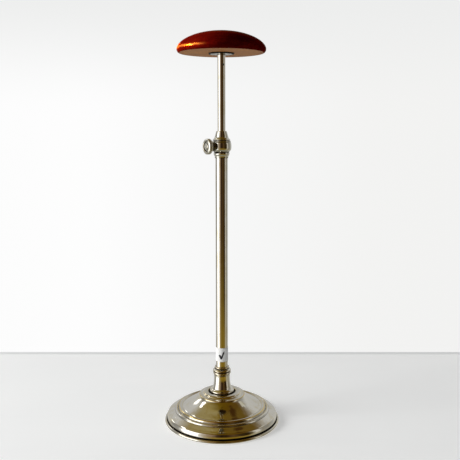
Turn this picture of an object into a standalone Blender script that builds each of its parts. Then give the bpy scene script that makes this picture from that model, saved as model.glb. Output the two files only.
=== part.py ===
"""Adjustable counter-top display stand: a turned wooden cap on a plated rod that
telescopes in a plated tube, held by a thumbscrew collar, on a weighted spun base.

Metres, +Z up. The origin is the centre of the resting face, on the stand's axis.
Profiles are written in millimetres as (radius, height) and scaled by MM.
"""

import math

import bmesh
import bpy
from mathutils import Matrix, Vector

MM = 0.001

# ---- driving dimensions, millimetres ---------------------------------------
GAP = 0.3                 # clearance between pieces that touch

BASE_R = 77.2             # outside of the rolled rim
FELT_R, FELT_T = 70.4, 1.5
PLATE_R, PLATE_Z0, PLATE_Z1 = 72.2, 1.8, 2.8
BASE_TOP = 39.6           # seat of the neck on the spun base

STUD_R, STUD_Z0, STUD_Z1 = 4.0, 14.5, 56.0
NECK_FOOT_R, NECK_TOP = 16.3, 68.2
NECK_RING_R, NECK_RING_TOP = 12.3, 75.3

TUBE_R, TUBE_WALL = 8.0, 1.0
TUBE_Z0, TUBE_Z1 = 59.6, 361.2
LABEL_Z0, LABEL_Z1 = 83.2, 102.0

COLLAR_Z0, COLLAR_Z1, COLLAR_R = 354.0, 376.0, 12.7
COLLAR_CAP_TOP = 388.3
SCREW_Z = 368.8           # height of the thumbscrew's axis
SCREW_AZIMUTH = 212.0     # degrees, the side the thumbscrew leaves towards
SCREW_PITCH = 0.81        # 2 BA thread
BOSS_R, BOSS_END = 4.8, 17.4
KNOB_R, KNOB_BACK, KNOB_FACE = 10.0, 17.7, 23.4

ROD_R, ROD_WALL = 5.0, 1.1
ROD_Z0, ROD_Z1 = 190.0, 483.5
GUIDE_R, GUIDE_LEN = 6.7, 11.4

CAP_PLATE_R, CAP_PLATE_T = 16.2, 1.3
CAP_Z0 = 485.4            # underside of the wooden cap
CAP_R, CAP_RIM_Z, CAP_RISE = 56.4, 490.3, 22.0
CAP_SCREW_CIRCLE = 11.4
SET_SCREW_Z, SET_SCREW_AZIMUTH = 471.0, -62.0

FINE, MEDIUM, COARSE, TINY = 40, 28, 20, 10   # facets round a turned piece


# ---- helpers ----------------------------------------------------------------
def clear_scene():
    for obj in list(bpy.data.objects):
        bpy.data.objects.remove(obj, do_unlink=True)


def make_collection(name, hidden=False):
    collection = bpy.data.collections.new(name)
    bpy.context.scene.collection.children.link(collection)
    collection.hide_render = hidden
    return collection


def make_material(name, colour, roughness, metallic):
    material = bpy.data.materials.new(name)
    material.use_nodes = True
    shader = material.node_tree.nodes["Principled BSDF"]
    shader.inputs["Base Color"].default_value = (*colour, 1.0)
    shader.inputs["Roughness"].default_value = roughness
    shader.inputs["Metallic"].default_value = metallic
    material.diffuse_color = (*colour, 1.0)
    return material


def make_empty(name, location=(0, 0, 0), rotation=(0, 0, 0), parent=None):
    empty = bpy.data.objects.new(name, None)
    empty.empty_display_size = 0.02
    empty.location = Vector(location) * MM
    empty.rotation_euler = rotation
    empty.parent = parent
    PARTS.objects.link(empty)
    return empty


def arc(centre, radius, start, end, count):
    """Points on an arc in the profile plane, angles in degrees from +radius towards +height."""
    points = []
    for i in range(count + 1):
        a = math.radians(start + (end - start) * i / count)
        points.append((centre[0] + radius * math.cos(a), centre[1] + radius * math.sin(a)))
    return points


def turned(name, profile, facets, material, closed=False, parent=None):
    """A lathe-turned solid. The profile runs down the outer side; a closed one returns up the bore."""
    mesh = bpy.data.meshes.new(name)
    points = [(r * MM, 0.0, h * MM) for r, h in profile]
    edges = [(i, i + 1) for i in range(len(points) - 1)]
    if closed:
        edges.append((len(points) - 1, 0))
    mesh.from_pydata(points, edges, [])
    obj = bpy.data.objects.new(name, mesh)
    PARTS.objects.link(obj)
    screw = obj.modifiers.new("Turn", "SCREW")
    screw.axis = "Z"
    screw.angle = 2 * math.pi
    screw.steps = screw.render_steps = facets
    screw.use_merge_vertices = True
    screw.merge_threshold = 0.00001
    screw.use_smooth_shade = True
    if material is not None:
        obj.data.materials.append(material)
    obj.parent = parent
    return obj


def baked(obj):
    """The object with its modifiers applied to its mesh, for pieces that are cut or joined."""
    graph = bpy.context.evaluated_depsgraph_get()
    mesh = bpy.data.meshes.new_from_object(obj.evaluated_get(graph))
    obj.modifiers.clear()
    old = obj.data
    obj.data = mesh
    mesh.name = obj.name
    bpy.data.meshes.remove(old)
    return obj


def smooth(obj, degrees=35.0):
    obj.data.shade_smooth()
    obj.data.set_sharp_from_angle(angle=math.radians(degrees))


def cylinder(name, radius, depth, facets, matrix, radius2=None):
    mesh = bpy.data.meshes.new(name)
    bm = bmesh.new()
    bmesh.ops.create_cone(
        bm, cap_ends=True, segments=facets,
        radius1=radius * MM, radius2=(radius if radius2 is None else radius2) * MM, depth=depth * MM,
    )
    bmesh.ops.recalc_face_normals(bm, faces=bm.faces)
    bm.to_mesh(mesh)
    bm.free()
    obj = bpy.data.objects.new(name, mesh)
    obj.matrix_world = matrix
    return obj


def as_cutter(obj):
    """Hidden helper for a Boolean."""
    for collection in obj.users_collection:
        collection.objects.unlink(obj)
    CUTTERS.objects.link(obj)
    obj.hide_render = True
    obj.display_type = "WIRE"
    return obj


def cylinder_cutter(*args, **kwargs):
    return as_cutter(cylinder(*args, **kwargs))


def boolean(obj, other, operation):
    modifier = obj.modifiers.new(operation.title(), "BOOLEAN")
    modifier.operation = operation
    modifier.solver = "EXACT"
    modifier.object = other
    return modifier


def radial_matrix(azimuth, distance, height):
    """Local +Z along a horizontal direction, centred that far from the stand's axis."""
    a = math.radians(azimuth)
    turn = Matrix.Rotation(a, 4, "Z") @ Matrix.Rotation(math.pi / 2, 4, "Y")
    spot = Vector((math.cos(a) * distance, math.sin(a) * distance, height)) * MM
    return Matrix.Translation(spot) @ turn


def at(x, y, z):
    return Matrix.Translation(Vector((x, y, z)) * MM)


clear_scene()
PARTS = make_collection("display_stand")
CUTTERS = make_collection("display_stand_cutters", hidden=True)

NICKEL = make_material("worn_nickel_plate", (0.62, 0.58, 0.49), 0.14, 1.0)
RAW_BRASS = make_material("brass", (0.68, 0.50, 0.22), 0.30, 1.0)
STEEL = make_material("steel", (0.45, 0.44, 0.42), 0.35, 1.0)
IRON = make_material("cast_iron", (0.07, 0.065, 0.06), 0.75, 0.6)
WOOD = make_material("lacquered_mahogany", (0.21, 0.012, 0.006), 0.12, 0.0)
FIBRE = make_material("vulcanised_fibre", (0.16, 0.05, 0.03), 0.6, 0.0)
PAPER = make_material("paper", (0.86, 0.85, 0.82), 0.85, 0.0)
FELT = make_material("felt", (0.04, 0.09, 0.05), 0.95, 0.0)

STAND = make_empty("stand_frame")
CARRIAGE = make_empty("height_frame", parent=STAND)
SWIVEL = make_empty("swivel_frame", parent=CARRIAGE)
SCREW_AXIS = make_empty(
    "thumbscrew_frame", (0, 0, SCREW_Z), (0, math.pi / 2, math.radians(SCREW_AZIMUTH)), parent=STAND
)


# ---- base ---------------------------------------------------------------------
def base_profile():
    """Spun sheet: seat, raised lip, cove and step, concave skirt, two beads, cyma, riser, rolled rim."""
    outside = [(5.0, BASE_TOP), (17.8, BASE_TOP)]
    outside += [(19.6, 40.4), (22.0, 40.6), (24.4, 40.0)]                       # raised lip
    outside += [(25.8, 38.6), (27.8, 37.3), (30.4, 36.5)]                       # cove and step
    outside += [(33.0, 34.1), (38.0, 30.4), (43.0, 27.2), (48.0, 24.0), (53.2, 20.6)]   # skirt
    outside += arc((56.0, 18.9), 2.6, 112, 30, 2)                               # first bead
    outside += [(59.1, 18.4)]
    outside += arc((61.2, 16.7), 2.1, 104, 18, 2)                               # second bead
    outside += [(63.6, 16.2), (68.5, 13.6), (72.4, 11.2)]                       # cyma
    outside += [(73.6, 8.9), (74.4, 5.8), (74.5, 3.9)]                          # riser
    outside += arc((BASE_R - 1.75, 2.05), 1.75, 90, -90, 4)                     # rolled rim
    inside = [(71.2, 0.3), (71.2, 1.3), (73.3, 1.5), (73.3, 5.2), (71.6, 10.2)]
    inside += [(62.3, 15.0), (53.2, 19.2), (36.0, 30.5), (25.4, 37.2), (20.0, 38.7), (5.0, 38.7)]
    return outside + inside


base_shell = turned("base_shell", base_profile(), FINE, NICKEL, closed=True, parent=STAND)

base_weight = turned(
    "base_weight",
    [(5.0, 38.2), (18.0, 38.2), (25.0, 36.4), (36.0, 29.4), (48.0, 21.9), (53.0, 18.5), (58.0, 16.2),
     (66.0, 12.4), (69.5, 10.0), (70.0, 3.2), (62.0, 3.2), (57.0, 7.5), (40.0, 15.5), (24.0, 22.0),
     (5.0, 22.0)],
    MEDIUM, IRON, closed=True, parent=STAND,
)
base_plate = turned(
    "base_plate", [(0, PLATE_Z1), (PLATE_R, PLATE_Z1), (PLATE_R, PLATE_Z0), (0, PLATE_Z0)],
    MEDIUM, STEEL, parent=STAND,
)
felt_pad = turned(
    "felt_pad", [(0, FELT_T), (FELT_R, FELT_T), (FELT_R, 0.0), (0, 0.0)], MEDIUM, FELT, parent=STAND
)
tie_stud = turned(
    "tie_stud",
    [(0, STUD_Z1), (STUD_R - 0.8, STUD_Z1), (STUD_R, STUD_Z1 - 0.8), (STUD_R, STUD_Z0), (0, STUD_Z0)],
    COARSE, STEEL, parent=STAND,
)
tie_washer = turned(
    "tie_washer", [(4.4, 21.7), (10.0, 21.7), (10.0, 20.4), (4.4, 20.4)], COARSE, STEEL, closed=True, parent=STAND
)
NUT_Z0, NUT_Z1, NUT_ACROSS = 15.9, 20.1, 13.0
tie_nut = cylinder(
    "tie_nut", NUT_ACROSS / math.sqrt(3), NUT_Z1 - NUT_Z0, 6, at(0, 0, (NUT_Z0 + NUT_Z1) / 2)
)
PARTS.objects.link(tie_nut)
tie_nut.data.materials.append(STEEL)
tie_nut.parent = STAND
boolean(tie_nut, cylinder_cutter("nut_bore", STUD_R + GAP, 20, COARSE, at(0, 0, 18)), "DIFFERENCE")


# ---- neck and tube ------------------------------------------------------------
neck_socket = turned(
    "neck_socket",
    [(0, TUBE_Z0 - GAP), (TUBE_R + GAP, TUBE_Z0 - GAP), (TUBE_R + GAP, NECK_TOP), (10.9, NECK_TOP),
     (11.8, 67.7), (12.0, 66.6), (11.7, 65.1), (11.2, 63.4), (10.8, 61.4), (10.6, 59.0), (10.9, 55.0), (11.4, 51.0),
     (11.9, 47.5), (12.6, 45.6), (14.0, 43.8), (15.8, 42.8), (NECK_FOOT_R, 42.0),
     (NECK_FOOT_R, BASE_TOP + GAP), (STUD_R + GAP, BASE_TOP + GAP), (STUD_R + GAP, STUD_Z1 + GAP),
     (0, STUD_Z1 + GAP)],
    MEDIUM, NICKEL, parent=STAND,
)
neck_ring = turned(
    "neck_ring",
    [(TUBE_R + GAP, NECK_RING_TOP), (9.1, NECK_RING_TOP), (9.8, 74.7), (9.9, 73.9), (9.4, 72.9), (9.6, 72.1),
     (11.0, 71.5), (12.0, 70.7), (NECK_RING_R, 69.8), (11.9, 68.9), (11.1, NECK_TOP + GAP),
     (TUBE_R + GAP, NECK_TOP + GAP)],
    MEDIUM, NICKEL, closed=True, parent=STAND,
)
outer_tube = turned(
    "outer_tube",
    [(TUBE_R - TUBE_WALL, TUBE_Z1), (TUBE_R, TUBE_Z1), (TUBE_R, TUBE_Z0), (TUBE_R - TUBE_WALL, TUBE_Z0)],
    MEDIUM, NICKEL, closed=True, parent=STAND,
)
paper_label = turned(
    "paper_label",
    [(TUBE_R + 0.15, LABEL_Z1), (TUBE_R + 0.4, LABEL_Z1), (TUBE_R + 0.4, LABEL_Z0), (TUBE_R + 0.15, LABEL_Z0)],
    MEDIUM, PAPER, closed=True, parent=STAND,
)


# ---- collar -------------------------------------------------------------------
collar_body = turned(
    "collar_body",
    [(7.2, COLLAR_Z1), (11.2, COLLAR_Z1), (11.8, 375.5), (11.8, 374.5), (12.3, 373.5), (COLLAR_R, 370.8),
     (COLLAR_R, 366.8), (12.1, 364.4), (11.0, 362.9), (9.8, 361.6), (10.0, 360.8), (10.0, 358.4),
     (9.4, 357.2), (8.7, 356.0), (8.6, COLLAR_Z0), (8.2, COLLAR_Z0), (8.2, TUBE_Z1 + GAP),
     (5.6, TUBE_Z1 + GAP), (5.6, 372.9), (7.2, 372.9)],
    MEDIUM, NICKEL, closed=True, parent=STAND,
)
collar_boss = turned(
    "collar_boss",
    [(0, BOSS_END), (BOSS_R, BOSS_END), (BOSS_R, 14.0), (5.4, 13.1), (6.2, 12.7), (6.2, 8.0), (0, 8.0)],
    COARSE, NICKEL,
)
collar_boss.matrix_world = radial_matrix(SCREW_AZIMUTH, 0, SCREW_Z)
as_cutter(collar_boss)
boolean(collar_body, collar_boss, "UNION")
boolean(
    collar_body,
    cylinder_cutter("collar_drill", 3.0, 18, COARSE, radial_matrix(SCREW_AZIMUTH, 13, SCREW_Z)),
    "DIFFERENCE",
)
collar_cap = turned(
    "collar_cap",
    [(5.4, COLLAR_CAP_TOP), (6.6, COLLAR_CAP_TOP), (6.9, 387.2), (7.4, 385.7), (8.05, 383.2), (8.7, 380.9),
     (9.3, 379.4), (10.5, 378.2), (11.2, 377.3), (11.2, COLLAR_Z1 + GAP), (7.2, COLLAR_Z1 + GAP),
     (7.2, 382.0), (5.4, 382.0)],
    MEDIUM, NICKEL, closed=True, parent=STAND,
)
collar_bush = turned(
    "collar_bush", [(5.3, 381.7), (6.9, 381.7), (6.9, 373.2), (5.3, 373.2)], MEDIUM, FIBRE, closed=True,
    parent=STAND,
)


# ---- thumbscrew, turned about its own axis ------------------------------------
def knob_profile():
    """Dished face with a raised rim and centre button, and a milled edge in two flanges."""
    face = [(0, KNOB_FACE - 0.5), (2.2, KNOB_FACE - 0.6), (3.1, KNOB_FACE - 1.3), (3.6, KNOB_FACE - 1.9)]
    face += [(7.2, KNOB_FACE - 1.6), (7.9, KNOB_FACE - 0.3), (8.6, KNOB_FACE), (9.5, KNOB_FACE - 0.3)]
    edge = [(KNOB_R, KNOB_FACE - 1.0), (KNOB_R, 20.9), (9.0, 20.5), (9.0, 19.9), (KNOB_R, 19.5), (KNOB_R, 18.4)]
    back = [(9.3, KNOB_BACK), (3.0, KNOB_BACK), (3.0, 20.4), (0, 20.4)]
    return face + edge + back


thumbscrew_head = turned("thumbscrew_head", knob_profile(), MEDIUM, NICKEL, parent=SCREW_AXIS)
thumbscrew_shank = turned(
    "thumbscrew_shank", [(0, 20.1), (2.7, 20.1), (2.7, 8.6), (2.2, 8.1), (0, 8.1)], COARSE, STEEL,
    parent=SCREW_AXIS,
)
clamp_pad = turned(
    "clamp_pad", [(0, 7.8), (2.6, 7.8), (2.6, 5.9), (0, 5.9)], COARSE, RAW_BRASS, parent=SCREW_AXIS
)


# ---- sliding rod --------------------------------------------------------------
rod = turned(
    "rod",
    [(ROD_R - ROD_WALL, ROD_Z1), (ROD_R, ROD_Z1), (ROD_R, ROD_Z0), (ROD_R - ROD_WALL, ROD_Z0)],
    MEDIUM, NICKEL, closed=True, parent=SWIVEL,
)
boolean(
    rod,
    cylinder_cutter("set_screw_drill", 1.5, 6, TINY, radial_matrix(SET_SCREW_AZIMUTH, 4.6, SET_SCREW_Z)),
    "DIFFERENCE",
)
END_R = ROD_R - ROD_WALL - GAP
rod_end_screw = turned(
    "rod_end_screw",
    [(0, 206.0), (END_R, 206.0), (END_R, ROD_Z0 - GUIDE_LEN - 2 * GAP), (5.4, ROD_Z0 - GUIDE_LEN - 2 * GAP),
     (5.4, 175.5), (4.9, 175.0), (0, 175.0)],
    COARSE, STEEL, parent=SWIVEL,
)
rod_guide = turned(
    "rod_guide",
    [(END_R + GAP, ROD_Z0 - GAP), (GUIDE_R, ROD_Z0 - GAP), (GUIDE_R, ROD_Z0 - GAP - GUIDE_LEN),
     (END_R + GAP, ROD_Z0 - GAP - GUIDE_LEN)],
    MEDIUM, FIBRE, closed=True, parent=CARRIAGE,
)


# ---- cap ----------------------------------------------------------------------
def cap_profile():
    """Flattened dome: an ellipse whose height is eased by a power just above one."""
    dome = []
    for i in range(11):
        t = math.pi / 2 * i / 10
        dome.append((CAP_R * math.sin(t), CAP_RIM_Z + CAP_RISE * max(math.cos(t), 0.0) ** 1.13))
    dome[0] = (0.0, CAP_RIM_Z + CAP_RISE)
    return dome + [(56.0, 488.1), (54.8, 486.3), (53.2, CAP_Z0), (0, CAP_Z0)]


cap_dome = turned("cap_dome", cap_profile(), FINE, WOOD, parent=SWIVEL)
CAP_PLATE_Z1 = CAP_Z0 - GAP
CAP_PLATE_Z0 = CAP_PLATE_Z1 - CAP_PLATE_T
cap_plate = turned(
    "cap_plate",
    [(0, CAP_PLATE_Z1), (CAP_PLATE_R, CAP_PLATE_Z1), (CAP_PLATE_R, CAP_PLATE_Z0 + 0.4),
     (CAP_PLATE_R - 0.5, CAP_PLATE_Z0), (ROD_R - ROD_WALL - GAP, CAP_PLATE_Z0),
     (ROD_R - ROD_WALL - GAP, 462.0), (0, 462.0)],
    MEDIUM, NICKEL, parent=SWIVEL,
)
for index, azimuth in enumerate((90.0, 210.0, 330.0), start=1):
    x = CAP_SCREW_CIRCLE * math.cos(math.radians(azimuth))
    y = CAP_SCREW_CIRCLE * math.sin(math.radians(azimuth))
    wood_screw = turned(
        f"cap_screw_{index}",
        [(0, 497.0), (0.7, 495.8), (1.4, 494.0), (1.4, CAP_PLATE_Z1), (2.7, CAP_PLATE_Z0), (0, CAP_PLATE_Z0)],
        TINY, STEEL, parent=SWIVEL,
    )
    wood_screw.location = (x * MM, y * MM, 0)
    boolean(cap_dome, cylinder_cutter(f"pilot_{index}", 1.8, 20, TINY, at(x, y, 488)), "DIFFERENCE")
    boolean(cap_plate, cylinder_cutter(f"clearance_{index}", 1.8, 8, TINY, at(x, y, 484)), "DIFFERENCE")
    boolean(
        cap_plate,
        cylinder_cutter(
            f"countersink_{index}", 3.5, CAP_PLATE_T + 0.8, TINY,
            at(x, y, CAP_PLATE_Z0 + CAP_PLATE_T / 2), radius2=1.4,
        ),
        "DIFFERENCE",
    )
cap_set_screw = turned(
    "cap_set_screw", [(0, 5.3), (0.9, 5.3), (1.15, 5.1), (1.15, 3.9), (0, 3.9)], TINY, STEEL, parent=SWIVEL
)
cap_set_screw.matrix_local = radial_matrix(SET_SCREW_AZIMUTH, 0, SET_SCREW_Z)


# ---- finish: modifiers applied, round faces smooth, real corners sharp ----------
bpy.context.view_layer.update()
for part in [obj for obj in PARTS.objects if obj.type == "MESH"]:
    baked(part)
    smooth(part)
bpy.context.view_layer.update()
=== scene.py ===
"""Looks for the adjustable counter-top display stand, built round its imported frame."""
import math

import bmesh
import bpy
from mathutils import Matrix, Vector, noise


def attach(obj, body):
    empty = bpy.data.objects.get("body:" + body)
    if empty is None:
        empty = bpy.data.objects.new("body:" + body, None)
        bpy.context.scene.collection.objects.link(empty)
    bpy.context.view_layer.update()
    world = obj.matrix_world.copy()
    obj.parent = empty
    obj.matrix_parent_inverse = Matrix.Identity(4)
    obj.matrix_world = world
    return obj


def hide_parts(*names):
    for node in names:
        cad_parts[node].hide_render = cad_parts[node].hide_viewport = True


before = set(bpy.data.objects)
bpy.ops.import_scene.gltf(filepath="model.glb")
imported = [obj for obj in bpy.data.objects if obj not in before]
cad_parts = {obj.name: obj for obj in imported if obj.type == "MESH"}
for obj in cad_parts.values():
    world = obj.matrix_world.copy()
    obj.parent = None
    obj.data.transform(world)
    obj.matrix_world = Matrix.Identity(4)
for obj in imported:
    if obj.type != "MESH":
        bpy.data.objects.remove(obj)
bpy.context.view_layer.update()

MM = 0.001
SCREW_Z, SCREW_AZIMUTH = 368.8, 212.0
CAP_Z0, CAP_R, CAP_RIM_Z, CAP_RISE = 485.4, 56.4, 490.3, 22.0
SET_SCREW_Z, SET_SCREW_AZIMUTH = 471.0, -62.0

scene = bpy.context.scene
scene.view_settings.view_transform = "Standard"
scene.view_settings.look = "None"
scene.view_settings.exposure = 0.0
scene.view_settings.gamma = 1.0


# ================================================================ node helpers
class Tree:
    """Short names for building a node tree."""

    def __init__(self, owner):
        owner.use_nodes = True
        self.tree = owner.node_tree
        self.tree.nodes.clear()

    def node(self, kind, **props):
        made = self.tree.nodes.new("ShaderNode" + kind)
        for key, value in props.items():
            setattr(made, key, value)
        return made

    def put(self, socket, value):
        if isinstance(value, bpy.types.NodeSocket):
            self.tree.links.new(value, socket)
        else:
            socket.default_value = value

    def math(self, op, a, b=None, c=None, clamp=False):
        made = self.node("Math", operation=op, use_clamp=clamp)
        for socket, value in zip(made.inputs, (a, b, c)):
            if value is not None:
                self.put(socket, value)
        return made.outputs[0]

    def vec(self, op, a, b=None, scale=None):
        made = self.node("VectorMath", operation=op)
        self.put(made.inputs[0], a)
        if b is not None:
            self.put(made.inputs[1], b)
        if scale is not None:
            self.put(made.inputs["Scale"], scale)
        return made.outputs["Value"] if op in ("DOT_PRODUCT", "LENGTH", "DISTANCE") else made.outputs[0]

    def xyz(self, vector):
        made = self.node("SeparateXYZ")
        self.put(made.inputs[0], vector)
        return made.outputs[0], made.outputs[1], made.outputs[2]

    def join(self, x, y, z):
        made = self.node("CombineXYZ")
        for socket, value in zip(made.inputs, (x, y, z)):
            self.put(socket, value)
        return made.outputs[0]

    def noise(self, vector, scale, detail=3.0, rough=0.5, distortion=0.0):
        made = self.node("TexNoise")
        self.put(made.inputs["Vector"], vector)
        made.inputs["Scale"].default_value = scale
        made.inputs["Detail"].default_value = detail
        made.inputs["Roughness"].default_value = rough
        made.inputs["Distortion"].default_value = distortion
        return made.outputs[0]

    def cells(self, vector, scale, feature="F1"):
        made = self.node("TexVoronoi", feature=feature)
        self.put(made.inputs["Vector"], vector)
        made.inputs["Scale"].default_value = scale
        return made.outputs["Distance"]

    def remap(self, value, a, b, c=0.0, d=1.0, smooth=False):
        made = self.node("MapRange", interpolation_type="SMOOTHSTEP" if smooth else "LINEAR", clamp=True)
        self.put(made.inputs["Value"], value)
        for name, number in (("From Min", a), ("From Max", b), ("To Min", c), ("To Max", d)):
            self.put(made.inputs[name], number)
        return made.outputs[0]

    def ramp(self, value, stops, mode="LINEAR"):
        made = self.node("ValToRGB")
        made.color_ramp.interpolation = mode
        elements = made.color_ramp.elements
        while len(elements) < len(stops):
            elements.new(0.5)
        for element, (position, colour) in zip(elements, stops):
            element.position = position
            element.color = (*colour, 1.0)
        self.put(made.inputs[0], value)
        return made.outputs[0]

    def mix(self, factor, a, b, blend="MIX"):
        made = self.node("Mix", data_type="RGBA", blend_type=blend)
        colours = [s for s in made.inputs if s.type == "RGBA"]
        self.put(made.inputs[0], factor)
        for socket, value in zip(colours, (a, b)):
            self.put(socket, (*value, 1.0) if isinstance(value, tuple) else value)
        return [s for s in made.outputs if s.type == "RGBA"][0]

    def bump(self, height, distance, strength=1.0, normal=None):
        made = self.node("Bump")
        made.inputs["Distance"].default_value = distance
        made.inputs["Strength"].default_value = strength
        self.put(made.inputs["Height"], height)
        if normal is not None:
            self.put(made.inputs["Normal"], normal)
        return made.outputs[0]

    def local(self):
        """Coordinates about the piece's own turning axis."""
        return self.node("Attribute", attribute_type="GEOMETRY", attribute_name="turned_at").outputs["Vector"]

    def place(self):
        return self.node("TexCoord").outputs["Object"]

    def attribute(self, name):
        return self.node("Attribute", attribute_type="GEOMETRY", attribute_name=name).outputs["Fac"]

    def shader(self, colour, roughness, normal=None, metallic=0.0, **fixed):
        made = self.node("BsdfPrincipled")
        self.put(made.inputs["Base Color"], (*colour, 1.0) if isinstance(colour, tuple) else colour)
        self.put(made.inputs["Roughness"], roughness)
        self.put(made.inputs["Metallic"], metallic)
        if normal is not None:
            self.put(made.inputs["Normal"], normal)
        for name, value in fixed.items():
            made.inputs[name.replace("_", " ")].default_value = value
        out = self.node("OutputMaterial")
        self.tree.links.new(made.outputs[0], out.inputs["Surface"])
        return made


def material(name):
    made = bpy.data.materials.new(name)
    return made, Tree(made)


# ================================================================ materials
def nickel(name, lines="ring", base=(0.74, 0.72, 0.67), tarnish=(0.62, 0.55, 0.38), brass=(0.70, 0.51, 0.24),
           rough=(0.035, 0.11), wave=1.0, wear=1.0, pit=None):
    """Old nickel plate: hand-polished, tarnished in cloudy patches, through to brass on the raised edges, with
    near-black painted shade, partly soiling, in the corners.
    """
    made, t = material(name)
    at, here = t.local(), t.place()
    x, y, z = t.xyz(at)
    if lines == "ring":
        radius = t.vec("LENGTH", t.join(x, y, 0.0))
        line_at = t.join(t.math("MULTIPLY", radius, 1.0), t.math("MULTIPLY", z, 1.0), 0.0)
        marks = t.noise(line_at, 2600.0, 3.0, 0.7)
    else:
        line_at = t.join(x, y, t.math("MULTIPLY", z, 0.02))
        marks = t.noise(line_at, 3200.0, 3.0, 0.7)
    cloud = t.noise(here, 70.0, 5.0, 0.6, 0.6)
    cloudy = t.remap(cloud, 0.46, 0.66, smooth=True)
    stain = t.remap(t.noise(here, 210.0, 4.0, 0.65, 0.8), 0.60, 0.72, smooth=True)
    speck = t.remap(t.noise(here, 1500.0, 2.0, 0.5), 0.74, 0.80, smooth=True)
    edge = t.attribute("wear")
    worn = t.math("MULTIPLY", t.remap(t.math("ADD", t.math("MULTIPLY", edge, 0.9), t.math("MULTIPLY", t.noise(here, 330.0, 4.0, 0.6), 0.55)), 0.62, 0.90, smooth=True), wear, clamp=True)
    hollow = t.attribute("cavity")
    dirt_and_shade = t.remap(t.math("ADD", t.math("MULTIPLY", hollow, 0.9), t.math("MULTIPLY", t.noise(here, 420.0, 4.0, 0.6), 0.45)), 0.50, 0.95, smooth=True)
    colour = t.mix(t.math("MULTIPLY", cloudy, 0.55), base, tarnish)
    colour = t.mix(t.math("MULTIPLY", stain, 0.28), colour, (0.40, 0.31, 0.17))
    colour = t.mix(worn, colour, brass)
    # Painted shade: near-black in concave corners and the listed grooves, partly real soiling.
    colour = t.mix(t.math("MULTIPLY", dirt_and_shade, 0.985), colour, (0.014, 0.010, 0.006))
    colour = t.mix(t.math("MULTIPLY", speck, 0.75), colour, (0.10, 0.075, 0.045))
    roughness = t.remap(cloud, 0.35, 0.70, rough[0], rough[1])
    roughness = t.math("ADD", roughness, t.math("MULTIPLY", dirt_and_shade, 0.45))
    roughness = t.math("ADD", roughness, t.math("MULTIPLY", speck, 0.25))
    roughness = t.math("ADD", roughness, t.math("MULTIPLY", marks, 0.05), clamp=True)
    if pit is not None:
        away = t.vec("DISTANCE", here, pit)
        ragged = t.math("ADD", away, t.math("MULTIPLY", t.noise(here, 1400.0, 2.0, 0.5), 0.0006))
        hole = t.remap(ragged, 0.0011, 0.0019, 1.0, 0.0, smooth=True)
        colour = t.mix(hole, colour, (0.012, 0.010, 0.008))
        roughness = t.math("ADD", roughness, t.math("MULTIPLY", hole, 0.6), clamp=True)
    scratch = t.noise(t.join(t.math("MULTIPLY", x, 1.0), t.math("MULTIPLY", y, 0.12), t.math("MULTIPLY", z, 0.35)), 2200.0, 2.0, 0.5, 1.5)
    scratch = t.remap(scratch, 0.66, 0.72, smooth=True)
    soft = t.bump(t.noise(here, 95.0, 2.0, 0.45), 0.00022 * wave)
    fine = t.bump(marks, 0.0000042, 1.0, soft)
    fine = t.bump(scratch, 0.0000022, 1.0, fine)
    fine = t.bump(t.math("ADD", speck, dirt_and_shade), 0.000012, 1.0, fine)
    t.shader(colour, roughness, fine, 1.0)
    return made


def mahogany():
    """Dark red lacquered mahogany: straight grain with pores, amber painted on the left of the shoulder band as a
    highlight over worn lacquer, a slightly wavy polish.
    """
    made, t = material("lacquered_mahogany")
    here = t.place()
    x, y, z = t.xyz(here)
    bent = t.math("ADD", y, t.math("MULTIPLY", t.noise(t.join(t.math("MULTIPLY", x, 0.3), y, z), 30.0, 2.0), 0.010))
    run = t.join(t.math("MULTIPLY", x, 0.06), bent, z)
    figure = t.noise(run, 210.0, 6.0, 0.62, 0.4)
    fine = t.noise(t.join(t.math("MULTIPLY", x, 0.04), bent, z), 900.0, 3.0, 0.6)
    pores = t.remap(t.noise(t.join(t.math("MULTIPLY", x, 0.10), bent, t.math("MULTIPLY", z, 1.2)), 2600.0, 2.0, 0.5), 0.62, 0.72, smooth=True)
    band = t.remap(t.noise(t.join(t.math("MULTIPLY", x, 0.15), bent, z), 55.0, 2.0, 0.5), 0.35, 0.68, smooth=True)
    colour = t.ramp(figure, [(0.30, (0.030, 0.0006, 0.0003)), (0.50, (0.066, 0.0012, 0.0005)), (0.72, (0.100, 0.0045, 0.0008))])
    colour = t.mix(t.math("MULTIPLY", band, 0.45), colour, (0.032, 0.0010, 0.0004))
    colour = t.mix(t.math("MULTIPLY", fine, 0.25), colour, (0.11, 0.004, 0.001))
    colour = t.mix(t.math("MULTIPLY", pores, 0.7), colour, (0.014, 0.0016, 0.001))
    # Painted highlight: amber on the left side of the shoulder band, where the window's highlight falls, on top of the
    # edge wear.
    worn_amber_and_highlight = t.remap(t.math("ADD", t.attribute("wear"), t.math("MULTIPLY", t.noise(here, 160.0, 4.0, 0.6), 0.55)), 0.62, 1.05, smooth=True)
    worn_amber_and_highlight = t.math("MULTIPLY", worn_amber_and_highlight, t.remap(x, -0.015, -0.030, smooth=True))
    colour = t.mix(t.math("MULTIPLY", worn_amber_and_highlight, 0.90), colour, (0.26, 0.066, 0.010))
    rub = t.noise(here, 75.0, 4.0, 0.6)
    roughness = t.remap(rub, 0.3, 0.72, 0.16, 0.28)
    soft = t.bump(t.noise(here, 120.0, 3.0, 0.5), 0.00050)
    soft = t.bump(figure, 0.000035, 1.0, soft)
    soft = t.bump(t.math("MULTIPLY", pores, -1.0), 0.000018, 1.0, soft)
    t.shader(colour, roughness, soft, 0.38, Specular_IOR_Level=0.0, Specular_Tint=(0.50, 0.17, 0.03, 1.0))
    return made


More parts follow.
